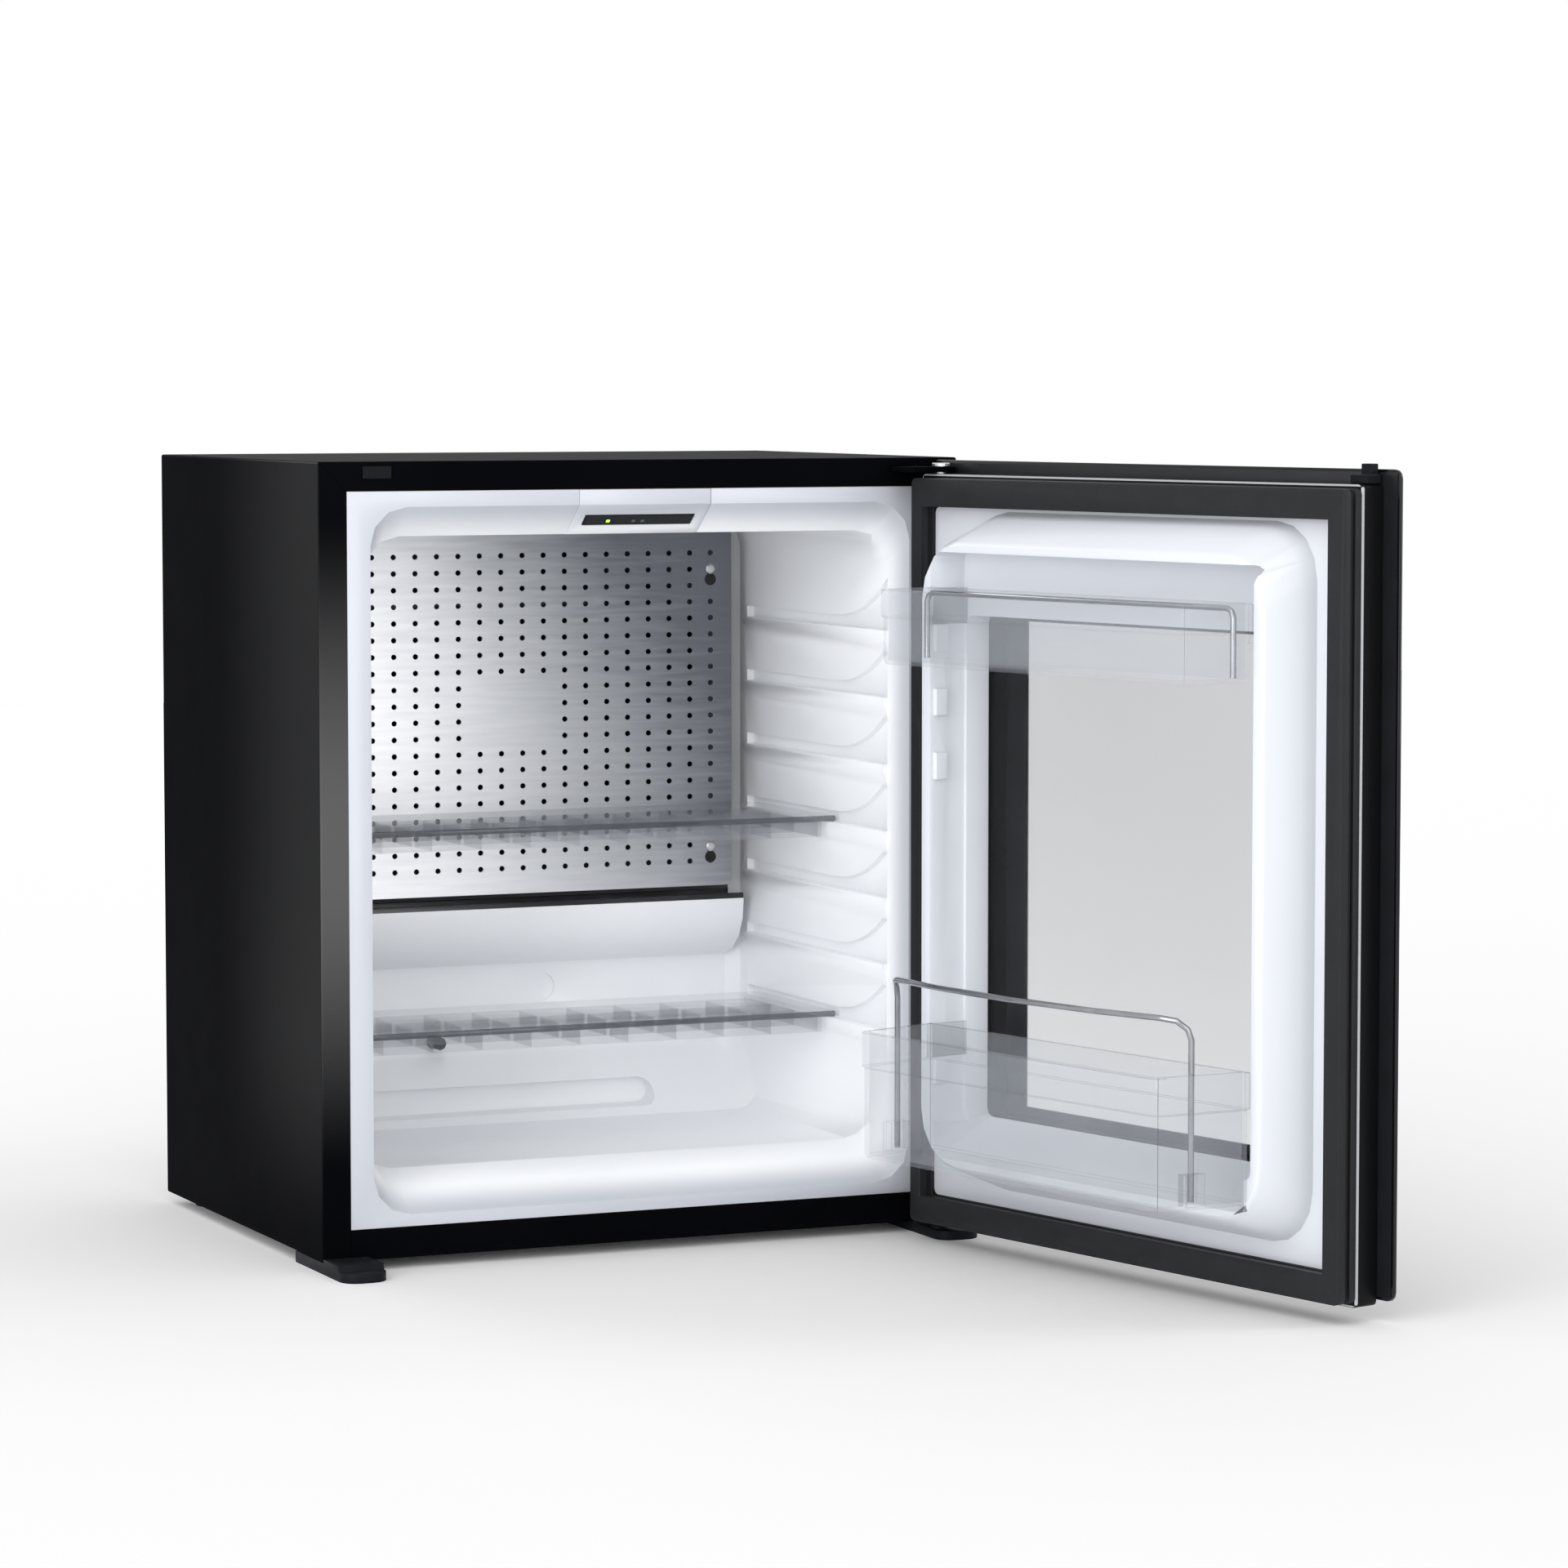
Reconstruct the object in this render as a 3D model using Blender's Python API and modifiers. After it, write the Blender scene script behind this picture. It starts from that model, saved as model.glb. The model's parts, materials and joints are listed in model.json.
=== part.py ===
"""Minibar fridge with a glass door, standing open as photographed.

Metres, +Z up. The origin is the centre of the cabinet underside, the front looks to -Y.
The door is built flat in its own frame, whose origin lies on the hinge axis: X runs from
the pins to the free edge and Y points out of the room side of the door.
"""
import math

import bmesh
import bpy
from mathutils import Matrix, Vector

# Cabinet
CASE_W = 0.486
CASE_H = 0.554
CASE_D = 0.356
SHEET = 0.0010
GAP = 0.0003
STILE = 0.0205
TOP_RAIL = 0.0204
BOTTOM_RAIL = 0.0213
BASE_SINK = 0.0005
FRONT = -CASE_D / 2
FOOT_H = 0.008

# Inner liner
WALL_X = 0.200
MOUTH_X = 0.2053
MOUTH_LOW = 0.030
MOUTH_HIGH = 0.5225
CEILING = 0.5012
REAR_WALL = 0.300
LINER_SKIN = 0.0025
FASCIA_DEPTH = 0.026
LEDGE_FIRST = 0.1366
LEDGE_PITCH = 0.0486
LEDGE_COUNT = 7
GROOVE_H = 0.0083
GROOVE_X = 0.205
LIP_X = 0.196
LEDGE_BACK = 0.277
LEDGE_FRONT = 0.0255
FUNNEL_BACK = 0.118
FUNNEL_RISE = 0.030

# Perforated plate in front of the evaporator
PLATE_Y = 0.262
PLATE_T = 0.0015
PLATE_X = 0.1796
PLATE_LOW = 0.2239
PLATE_HIGH = 0.495
HOLE_R = 0.0021
HOLE_PITCH_X = 0.01706
HOLE_PITCH_Z = 0.01237
HOLE_TOP = 0.4781
HOLE_ROWS = 20
HOLE_COLS = 20
KEY_X = 9.5 * HOLE_PITCH_X
KEY_Z = (0.4660, 0.2540)

# Shelves
SHELF_X = 0.2015
SHELF_T = 0.0043
SHELF_FRONT = 0.118
SHELF_BACK = 0.258
RIB_DROP = 0.0114
RIB_T = 0.0020
RIB_X = 0.1905

# Door, in its own frame
PIN_X = 0.218
PIN_Y = -0.026
DOOR_ANGLE = 103.0
FRAME_U = (-0.010, 0.4467)
FRAME_V = (-0.009, 0.0102)
FRAME_Z = (0.003, 0.5428)
SKIN_U = (-0.023, 0.4615)
SKIN_V = (0.0112, 0.014)
SKIN_Z = (0.0069, 0.5524)
PRINT_V = (0.0105, 0.0109)
CLEAR_U = (0.0847, 0.376)
CLEAR_Z = (0.095, 0.440)
BORDER_V = -0.012
BORDER_U = (0.009, 0.432)
BORDER_Z = (0.0254, 0.5196)
CREST_V = -0.060
DIKE_U = (0.0525, 0.4085)
POCKET_U = (0.063, 0.400)
WINDOW_U = (0.0655, 0.398)
WINDOW_Z = (0.088, 0.4447)
HEADER_V = -0.029
GASKET_U = (-0.0022, 0.4476)
GASKET_Z = (0.0062, 0.540)
GASKET_V = -0.0255
LUG_TOPS = (0.1337, 0.349, 0.394, 0.439)
LUG_H = 0.0195
PIN_R = 0.004
BUSH_R = 0.006

# Cooling unit behind the cabinet
UNIT_Y = 0.356
TUBE_R = 0.0055
HOSE_R = 0.0050
COIL_R = 0.008
COIL_X = 0.165
COIL_TOP = 0.400
VESSEL_R = 0.026
VESSEL_X = 0.110
VESSEL_Z = 0.130
WAY_GAP = 0.0006
TUBE_AT = (0.060, 0.440)
HOSE_AT = (-0.050, 0.110)

SLOTS = {
    "black_steel": ((0.012, 0.013, 0.015, 1), 0.36, 0.0),
    "black_plastic": ((0.016, 0.017, 0.020, 1), 0.45, 0.0),
    "white_liner": ((0.66, 0.69, 0.71, 1), 0.34, 0.0),
    "foam": ((0.72, 0.62, 0.36, 1), 0.90, 0.0),
    "aluminium": ((0.62, 0.63, 0.64, 1), 0.38, 1.0),
    "clear_plastic": ((0.80, 0.84, 0.85, 1), 0.12, 0.0),
    "steel_wire": ((0.70, 0.71, 0.72, 1), 0.22, 1.0),
    "zinc_plate": ((0.55, 0.56, 0.57, 1), 0.42, 1.0),
    "galvanised": ((0.42, 0.43, 0.44, 1), 0.50, 1.0),
    "gasket_rubber": ((0.020, 0.021, 0.023, 1), 0.62, 0.0),
    "door_glass": ((0.70, 0.76, 0.77, 1), 0.04, 0.0),
    "black_print": ((0.008, 0.008, 0.010, 1), 0.30, 0.0),
    "grey_plastic": ((0.20, 0.21, 0.22, 1), 0.48, 0.0),
    "lens": ((0.010, 0.011, 0.013, 1), 0.12, 0.0),
    "green_light": ((0.08, 0.80, 0.25, 1), 0.25, 0.0),
}


def clear_scene():
    """Start from an empty scene."""
    for old in list(bpy.data.objects):
        bpy.data.objects.remove(old, do_unlink=True)


def make_collection(name):
    """A collection linked to the scene."""
    group = bpy.data.collections.new(name)
    bpy.context.scene.collection.children.link(group)
    return group


def make_materials():
    """One Principled material per slot."""
    made = {}
    for name, (colour, rough, metal) in SLOTS.items():
        material = bpy.data.materials.new(name)
        material.use_nodes = True
        shader = material.node_tree.nodes["Principled BSDF"]
        shader.inputs["Base Color"].default_value = colour
        shader.inputs["Roughness"].default_value = rough
        shader.inputs["Metallic"].default_value = metal
        made[name] = material
    return made


clear_scene()
PARTS = make_collection("minibar_fridge")
CUTTERS = make_collection("cutters")
MATERIALS = make_materials()
DOOR_AXIS = bpy.data.objects.new("door_axis", None)
PARTS.objects.link(DOOR_AXIS)
DOOR_AXIS.matrix_world = (Matrix.Translation((PIN_X, FRONT + PIN_Y, 0))
                          @ Matrix.Rotation(math.radians(180 + DOOR_ANGLE), 4, "Z"))


def depth(y):
    """Distance behind the cabinet front face, as a world Y."""
    return FRONT + y


def new_object(name, mesh, link=CUTTERS):
    """Wrap a mesh in an object; it stays a cutter until it is named a part."""
    item = bpy.data.objects.new(name, mesh)
    link.objects.link(item)
    item.hide_render = link is CUTTERS
    item.display_type = "WIRE" if link is CUTTERS else "TEXTURED"
    return item


def from_bmesh(name, bm):
    """Object from a bmesh with its faces turned outward."""
    bmesh.ops.recalc_face_normals(bm, faces=bm.faces)
    mesh = bpy.data.meshes.new(name)
    bm.to_mesh(mesh)
    bm.free()
    return new_object(name, mesh)


def box(name, x, y, z):
    """Box from three (low, high) pairs."""
    bm = bmesh.new()
    size = (x[1] - x[0], y[1] - y[0], z[1] - z[0])
    middle = ((x[0] + x[1]) / 2, (y[0] + y[1]) / 2, (z[0] + z[1]) / 2)
    place = Matrix.Translation(middle) @ Matrix.Diagonal((*size, 1))
    bmesh.ops.create_cube(bm, size=1, matrix=place)
    return from_bmesh(name, bm)


def rod(name, radius, start, end, sides=12):
    """Round bar between two points."""
    start = Vector(start)
    run = Vector(end) - start
    turn = run.to_track_quat("Z", "Y").to_matrix().to_4x4()
    bm = bmesh.new()
    bmesh.ops.create_cone(bm, cap_ends=True, segments=sides, radius1=radius, radius2=radius,
                          depth=run.length, matrix=Matrix.Translation(start + run / 2) @ turn)
    return from_bmesh(name, bm)


def prism(name, outline, axis, low, high):
    """Flat outline drawn as a filled curve and thickened along one axis."""
    curve = bpy.data.curves.new(name, "CURVE")
    curve.dimensions = "2D"
    curve.fill_mode = "BOTH"
    curve.extrude = (high - low) / 2
    spline = curve.splines.new("POLY")
    spline.points.add(len(outline) - 1)
    for point, (a, b) in zip(spline.points, outline):
        point.co = (a, b, 0, 1)
    spline.use_cyclic_u = True
    turns = {
        "X": Matrix(((0, 0, 1, 0), (1, 0, 0, 0), (0, 1, 0, 0), (0, 0, 0, 1))),
        "Y": Matrix(((1, 0, 0, 0), (0, 0, -1, 0), (0, 1, 0, 0), (0, 0, 0, 1))),
        "Z": Matrix.Identity(4),
    }
    middle = (high + low) / 2
    shift = Vector((middle if axis == "X" else 0, middle if axis == "Y" else 0,
                    middle if axis == "Z" else 0))
    mesh = curve_mesh(name, curve)
    mesh.transform(Matrix.Translation(shift) @ turns[axis])
    return new_object(name, mesh)


def curve_mesh(name, curve):
    """Closed mesh of a curve, with its caps welded to its sides."""
    holder = new_object(name + "_curve", curve)
    bpy.context.view_layer.update()
    shape = holder.evaluated_get(bpy.context.evaluated_depsgraph_get())
    mesh = bpy.data.meshes.new_from_object(shape)
    bm = bmesh.new()
    bm.from_mesh(mesh)
    bmesh.ops.remove_doubles(bm, verts=bm.verts, dist=0.00002)
    if curve.dimensions == "2D":
        bmesh.ops.dissolve_limit(bm, angle_limit=0.002, verts=bm.verts, edges=bm.edges)
    bmesh.ops.recalc_face_normals(bm, faces=bm.faces)
    bm.to_mesh(mesh)
    bm.free()
    mesh.name = name
    bpy.data.objects.remove(holder, do_unlink=True)
    return mesh


def wire(name, points, radius, resolution=2):
    """Round wire through the given points."""
    curve = bpy.data.curves.new(name, "CURVE")
    curve.dimensions = "3D"
    curve.bevel_depth = radius
    curve.bevel_resolution = resolution
    curve.use_fill_caps = True
    spline = curve.splines.new("POLY")
    spline.points.add(len(points) - 1)
    for point, place in zip(spline.points, points):
        point.co = (*place, 1)
    return new_object(name, curve_mesh(name, curve))


def loft(name, rings):
    """Closed skin over rings of equal length, for sections that differ from end to end."""
    bm = bmesh.new()
    rows = [[bm.verts.new(point) for point in ring] for ring in rings]
    count = len(rows[0])
    for near, far in zip(rows, rows[1:]):
        for i in range(count):
            j = (i + 1) % count
            bm.faces.new((near[i], near[j], far[j], far[i]))
    bm.faces.new(rows[0])
    bm.faces.new(rows[-1])
    return from_bmesh(name, bm)


def turned(name, profile, centre=(0, 0, 0), steps=16):
    """Round piece: a profile of (radius, height) pairs spun about Z."""
    bm = bmesh.new()
    verts = [bm.verts.new((radius, 0, height)) for radius, height in profile]
    for a, b in zip(verts, verts[1:]):
        bm.edges.new((a, b))
    mesh = bpy.data.meshes.new(name)
    bm.to_mesh(mesh)
    bm.free()
    item = new_object(name, mesh)
    item.location = centre
    spin = item.modifiers.new("spin", "SCREW")
    spin.steps = steps
    spin.render_steps = steps
    spin.use_merge_vertices = True
    spin.merge_threshold = 0.00005
    return item


def bevel(item, width, segments=2, angle=40):
    """Round the sharp edges."""
    mod = item.modifiers.new("bevel", "BEVEL")
    mod.width = width
    mod.segments = segments
    mod.limit_method = "ANGLE"
    mod.angle_limit = math.radians(angle)
    return item


def combine(item, other, operation):
    """Exact Boolean kept on the item."""
    mod = item.modifiers.new(operation.lower(), "BOOLEAN")
    mod.operation = operation
    mod.solver = "EXACT"
    mod.object = other
    return item


def cut(item, *cutters):
    """Take the cutters away from the item."""
    for cutter in cutters:
        combine(item, cutter, "DIFFERENCE")
    return item


def fuse(item, *others):
    """Melt the others into the item."""
    for other in others:
        combine(item, other, "UNION")
    return item


def gather(name, items):
    """One mesh holding several separate shapes."""
    bpy.context.view_layer.update()
    graph = bpy.context.evaluated_depsgraph_get()
    bm = bmesh.new()
    for item in items:
        mesh = bpy.data.meshes.new_from_object(item.evaluated_get(graph))
        mesh.transform(item.matrix_world)
        bm.from_mesh(mesh)
        bpy.data.meshes.remove(mesh)
    for item in items:
        bpy.data.objects.remove(item, do_unlink=True)
    return from_bmesh(name, bm)


def mirrored(item):
    """Repeat a shape on the other side of the cabinet's middle plane."""
    mod = item.modifiers.new("mirror", "MIRROR")
    mod.use_axis[0] = True
    mod.use_mirror_merge = False
    return item


def adopt(item, parent):
    """Hang a shape and all its cutters on a parent."""
    item.parent = parent
    for mod in item.modifiers:
        if mod.type == "BOOLEAN":
            adopt(mod.object, parent)


def part(item, slot, parent=None, smooth=True):
    """Make the shape a named part with its material."""
    CUTTERS.objects.unlink(item)
    PARTS.objects.link(item)
    item.hide_render = False
    item.display_type = "TEXTURED"
    item.data.materials.clear()
    item.data.materials.append(MATERIALS[slot])
    if smooth:
        for face in item.data.polygons:
            face.use_smooth = True
        if "spin" in item.modifiers:
            item.modifiers["spin"].use_smooth_shade = True
    if parent:
        adopt(item, parent)
    return item


def circle(x, z, radius, sides, start=0.0):
    """Outline of a regular polygon."""
    return [(x + radius * math.cos(start + 2 * math.pi * i / sides),
             z + radius * math.sin(start + 2 * math.pi * i / sides)) for i in range(sides)]


def rounded(x, z, radii, steps=3):
    """Rectangle outline with its four corner radii: low-low, high-low, high-high, low-high."""
    corners = ((x[0], z[0], 1, 1, 180), (x[1], z[0], -1, 1, 270),
               (x[1], z[1], -1, -1, 0), (x[0], z[1], 1, -1, 90))
    points = []
    for (cx, cz, sx, sz, start), radius in zip(corners, radii):
        if radius == 0:
            points.append((cx, cz))
            continue
        for i in range(steps + 1):
            turn = math.radians(start + 90 * i / steps)
            points.append((cx + sx * radius + radius * math.cos(turn),
                           cz + sz * radius + radius * math.sin(turn)))
    return points


def grown(pair, by):
    """A (low, high) pair widened on both sides."""
    return (pair[0] - by, pair[1] + by)


def ring(name, outer_x, outer_z, inner_x, inner_z, y, radius=0.0):
    """Rectangular frame between two depths."""
    body = prism(name, rounded(outer_x, outer_z, (radius,) * 4), "Y", y[0], y[1])
    return cut(body, box(name + "_hole", inner_x, grown(y, 0.005), inner_z))


def liner_blocks(grow):
    """The three outer blocks of the liner: front flange, collar and tub."""
    flange = box("liner_flange", grown((-0.2222, 0.2222), grow), (depth(0), depth(0.002 + grow)),
                 grown((0.0216, 0.5333), grow))
    collar = box("liner_collar", grown((-0.212, 0.212), grow), (depth(0.001), depth(0.062 + grow)),
                 grown((0.0245, 0.530), grow))
    tub = box("liner_tub", grown((-0.2085, 0.2085), grow), (depth(0.05), depth(0.3035 + grow)),
              grown((0.042, 0.509), grow))
    return flange, collar, tub


def liner_cavity():
    """Room inside the liner, as rounded sections from the mouth to the rear wall."""
    stations = (
        (-0.010, 0.2074, 0.0245, 0.5306, 0.028),
        (0.000, MOUTH_X, MOUTH_LOW, MOUTH_HIGH, 0.027),
        (FASCIA_DEPTH, WALL_X, 0.0445, 0.5015, 0.025),
        (0.046, WALL_X, 0.0555, CEILING, 0.024),
        (0.052, WALL_X, 0.0555, CEILING, 0.024),
        (0.060, WALL_X, 0.0495, CEILING, 0.022),
        (0.258, WALL_X, 0.0510, CEILING, 0.018),
        (0.290, 0.199, 0.086, 0.500, 0.018),
        (REAR_WALL, 0.190, 0.098, 0.491, 0.014),
    )
    rings = []
    for y, half, low, high, radius in stations:
        outline = rounded((-half, half), (low, high), (radius,) * 4)
        rings.append([(x, depth(y), z) for x, z in outline])
    return loft("cavity", rings)


def ledge_tops():
    """Heights of the shelf ledges."""
    return [LEDGE_FIRST + LEDGE_PITCH * i for i in range(LEDGE_COUNT)]


def groove_cutter():
    """Grooves above the ledges, each opening into a funnel at the front."""
    grooves = []
    for top in ledge_tops():
        roof = top + GROOVE_H
        outline = [(depth(LEDGE_FRONT), top), (depth(LEDGE_BACK), top), (depth(LEDGE_BACK), roof)]
        for i in range(9):
            run = i / 8
            outline.append((depth(FUNNEL_BACK + (LEDGE_FRONT - FUNNEL_BACK) * run),
                            roof + FUNNEL_RISE * run ** 2.2))
        grooves.append(prism("groove", outline, "X", WALL_X - 0.002, GROOVE_X))
    return mirrored(gather("grooves", grooves))


def ledge_lips():
    """Lips under the grooves, tapering back to the wall."""
    lips = []
    for top in ledge_tops():
        outline = [(LIP_X, top), (LIP_X, top - 0.003), (WALL_X + 0.001, top - 0.016),
                   (WALL_X + 0.001, top)]
        rings = [[(x, depth(LEDGE_FRONT), z) for x, z in outline],
                 [(x, depth(LEDGE_BACK), z) for x, z in outline]]
        lips.append(loft("lip", rings))
    return mirrored(gather("lips", lips))


def way(name, radius, place, start, end):
    """Round way through the back for a tube or hose, with its clearance."""
    x, z = place
    return rod(name, radius + WAY_GAP, (x, depth(start), z), (x, depth(end), z))


def make_case():
    """Folded sheet case with its front stiles and top rail."""
    half = CASE_W / 2
    case = box("outer_case", (-half, half), (FRONT, -FRONT), (0, CASE_H))
    bevel(case, 0.0014, 2)
    cut(case, box("case_room", (-half + SHEET, half - SHEET), (depth(SHEET), -FRONT + 0.01),
                  (-0.01, CASE_H - SHEET)))
    cut(case, box("case_mouth", (-half + STILE, half - STILE), (FRONT - 0.01, depth(0.01)),
                  (-0.01, CASE_H - TOP_RAIL)))
    slots = [box("hinge_slot", (0.1897, 0.2113), (FRONT - 0.01, depth(0.01)), (0.5436, 0.5484)),
             box("spare_slot", (-0.2090, -0.1920), (FRONT - 0.01, depth(0.01)), (0.5436, 0.5484))]
    part(cut(case, gather("front_slots", slots)), "black_steel", smooth=False)
    rail = box("bottom_rail", (-half + STILE + GAP, half - STILE - GAP), (FRONT, depth(0.0010)),
               (0.0, BOTTOM_RAIL))
    part(rail, "black_steel", smooth=False)
    base = box("base_plate", (-half + SHEET + GAP, half - SHEET - GAP), (depth(0.0013), -FRONT - 0.0013),
               (BASE_SINK, BASE_SINK + SHEET))
    pad = box("base_pad", (-0.180, 0.180), (-0.110, 0.110), (0, BASE_SINK + 0.0005))
    part(fuse(base, pad), "galvanised", smooth=False)
    panel = box("back_panel", (-half + SHEET + GAP, half - SHEET - GAP), (-FRONT - 0.0010, -FRONT),
                (0.0, CASE_H - SHEET - GAP))
    holes = [way("tube_hole", TUBE_R, TUBE_AT, 0.30, 0.40), way("hose_hole", HOSE_R, HOSE_AT, 0.30, 0.40)]
    part(cut(panel, gather("panel_holes", holes)), "galvanised", smooth=False)
    cap = box("blind_cap", (-0.211, -0.190), (FRONT - 0.0015, FRONT - GAP), (0.542, 0.5508))
    bevel(cap, 0.0008, 2)
    part(fuse(cap, box("cap_stem", (-0.2085, -0.1925), (FRONT - 0.001, depth(0.004)),
                       (0.5441, 0.5479))), "black_plastic", smooth=False)


def make_liner():
    """Formed liner and the foam behind it."""
    flange, collar, tub = liner_blocks(0)
    liner = fuse(flange, collar, tub)
    liner.name = "inner_liner"
    posts = [rod("post", 0.0045, (sx * KEY_X, depth(0.2640), z), (sx * KEY_X, depth(0.301), z), 8)
             for sx in (-1, 1) for z in KEY_Z]
    channel = [(depth(0.3015), 0.166), (depth(0.285), 0.172), (depth(0.272), 0.183),
               (depth(0.2645), 0.197), (depth(0.2625), 0.212), (depth(0.2635), 0.2170),
               (depth(0.2665), 0.2170), (depth(0.2665), 0.2120), (depth(0.2960), 0.2030),
               (depth(0.2960), 0.2170), (depth(0.3015), 0.2170)]
    cut(liner, liner_cavity(), groove_cutter())
    fuse(liner, ledge_lips(), prism("drip_channel", channel, "X", -0.190, 0.190),
         gather("plate_posts", posts))
    recess = prism("slope_recess", rounded((-0.120, 0.119), (0.057, 0.077), (0.0095,) * 4), "Y",
                   depth(0.255), depth(0.2875))
    bores = [rod("bore", 0.0019, (sx * KEY_X, depth(0.25), z), (sx * KEY_X, depth(0.276), z), 8)
             for sx in (-1, 1) for z in KEY_Z]
    bores.append(rod("dimple", 0.0105, (0.038, depth(0.29), 0.148), (0.038, depth(0.3015), 0.148), 16))
    bores.append(way("tube_bore", TUBE_R, TUBE_AT, 0.29, 0.32))
    bores.append(way("hose_bore", HOSE_R, HOSE_AT, 0.27, 0.32))
    housing_room = box("housing_room", (-0.0503, 0.0503), (depth(-0.01), depth(0.0303)),
                       (0.4950, 0.5336))
    cut(liner, recess, gather("liner_bores", bores), housing_room)
    part(liner, "white_liner", smooth=False)
    foam = box("insulation_foam", (-0.2417, 0.2417), (depth(0.0013), depth(0.3547)),
               (BASE_SINK + SHEET + GAP, 0.5527))
    pockets = [box("pocket", (sx * 0.2 - 0.017, sx * 0.2 + 0.017), (FRONT, depth(0.034)),
                   (0.541, 0.551)) for sx in (-1, 1)]
    pockets.append(way("tube_way", TUBE_R, TUBE_AT, 0.25, 0.36))
    pockets.append(way("hose_way", HOSE_R, HOSE_AT, 0.25, 0.36))
    cut(foam, *liner_blocks(GAP), gather("foam_pockets", pockets))
    part(foam, "foam", smooth=False)


def make_control():
    """Control housing let into the fascia, with its lens and lights."""
    body = [(FRONT, 0.5333), (FRONT, MOUTH_HIGH), (depth(FASCIA_DEPTH), 0.5015),
            (depth(0.030), 0.5012), (depth(0.030), 0.5295), (depth(0.002), 0.5295),
            (depth(0.002), 0.5333)]
    housing = prism("control_housing", body, "X", -0.050, 0.050)
    slope = Vector((0, 0.009, -0.007)).normalized()
    out = Vector((0, -0.007, -0.009)).normalized()
    middle = Vector((0, depth(0.0137), 0.5114))

    def on_slope(name, x, half, low, high):
        rings = []
        for rise in (low, high):
            base = middle + out * rise
            rings.append([(x[0], *(base - slope * half)[1:]), (x[1], *(base - slope * half)[1:]),
                          (x[1], *(base + slope * half)[1:]), (x[0], *(base + slope * half)[1:])])
        return loft(name, rings)

    part(cut(housing, on_slope("lens_seat", (-0.0417, 0.0417), 0.0058, -0.0022, 0.004)),
         "white_liner", smooth=False)
    lens = on_slope("control_lens", (-0.0414, 0.0414), 0.0055, -0.0019, 0.0006)
    part(bevel(lens, 0.0004, 1), "lens", smooth=False)
    for i, x in enumerate((-0.0234, -0.0041, 0.0028)):
        spot = on_slope(f"status_light_{i + 1}", (x - 0.0012, x + 0.0012), 0.0012, 0.0008, 0.0012)
        part(spot, "green_light", smooth=False)


def plate_holes():
    """Square-drilled rows, leaving the middle block and the fixing corners plain."""
    bm = bmesh.new()
    turn = Matrix.Rotation(math.radians(90), 4, "X")
    for row in range(HOLE_ROWS):
        for col in range(HOLE_COLS):
            if 8 <= row <= 11 and 8 <= col <= 11:
                continue
            if col in (0, HOLE_COLS - 1) and row in (1, 2, HOLE_ROWS - 3, HOLE_ROWS - 2):
                continue
            x = (col - (HOLE_COLS - 1) / 2) * HOLE_PITCH_X
            z = HOLE_TOP - row * HOLE_PITCH_Z
            place = Matrix.Translation((x, depth(PLATE_Y + PLATE_T / 2), z)) @ turn
            bmesh.ops.create_cone(bm, cap_ends=True, segments=4, radius1=HOLE_R * 1.2,
                                  radius2=HOLE_R * 1.2, depth=PLATE_T * 3, matrix=place)
    return from_bmesh("plate_holes", bm)


def keyhole(x, z):
    """Outline of a keyhole: a round entry below a narrow seat."""
    big, small, drop = 0.0046, 0.0024, 0.0081
    edge = math.asin(small / big)
    points = []
    for i in range(8):
        turn = edge + (2 * math.pi - 2 * edge) * i / 7
        points.append((x + big * math.sin(turn), z - drop + big * math.cos(turn)))
    for i in range(4):
        turn = math.pi * (1 - i / 3)
        points.append((x + small * math.cos(turn), z + small * math.sin(turn)))
    return points


def make_plate():
    """Perforated plate, its screws, and the evaporator behind it."""
    outline = rounded((-PLATE_X, PLATE_X), (PLATE_LOW, PLATE_HIGH), (0.004,) * 4, 2)
    plate = prism("perforated_plate", outline, "Y", depth(PLATE_Y), depth(PLATE_Y + PLATE_T))
    keys = [prism("keyhole", keyhole(sx * KEY_X, z), "Y", depth(0.25), depth(0.27))
            for sx in (-1, 1) for z in KEY_Z]
    part(cut(plate, plate_holes(), gather("keyholes", keys)), "aluminium", smooth=False)
    profile = [(0, 0.0020), (0.0026, 0.0017), (0.0040, 0.0006), (0.0040, 0), (0.0016, 0),
               (0.0016, -0.0120), (0, -0.0120)]
    for side, sx in (("left", -1), ("right", 1)):
        for level, z in zip(("top", "bottom"), KEY_Z):
            screw = turned(f"plate_screw_{side}_{level}", profile,
                           (sx * KEY_X, depth(PLATE_Y - GAP), z), 10)
            screw.rotation_euler = (math.radians(90), 0, 0)
            part(screw, "zinc_plate")
    teeth = []
    for i in range(16):
        x = -0.150 + i * 0.020
        teeth += [(x - 0.0008, 0.267), (x + 0.0008, 0.267), (x + 0.0008, 0.288), (x + 0.0192, 0.288)]
    comb = [(x, depth(y)) for x, y in teeth[:-1]]
    comb += [(comb[-1][0], depth(0.292)), (comb[0][0], depth(0.292))]
    fins = prism("evaporator_fins", comb, "Z", 0.260, TUBE_AT[1] - TUBE_R - GAP)
    part(fins, "aluminium", smooth=False)
    x, z = TUBE_AT
    plan = [(-0.13, 0.286), (x - 0.013, 0.286), (x - 0.004, 0.289), (x, 0.297), (x, 0.374),
            (x + 0.003, 0.383), (x + 0.012, 0.386), (COIL_X - 0.012, 0.386)]
    run = [(a, depth(b), z) for a, b in plan]
    run += [(COIL_X - 0.003, depth(0.386), z - 0.003), (COIL_X, depth(0.386), z - 0.012),
            (COIL_X, depth(0.386), COIL_TOP + COIL_R + GAP)]
    part(wire("evaporator_tube", run, TUBE_R), "galvanised")


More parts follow.
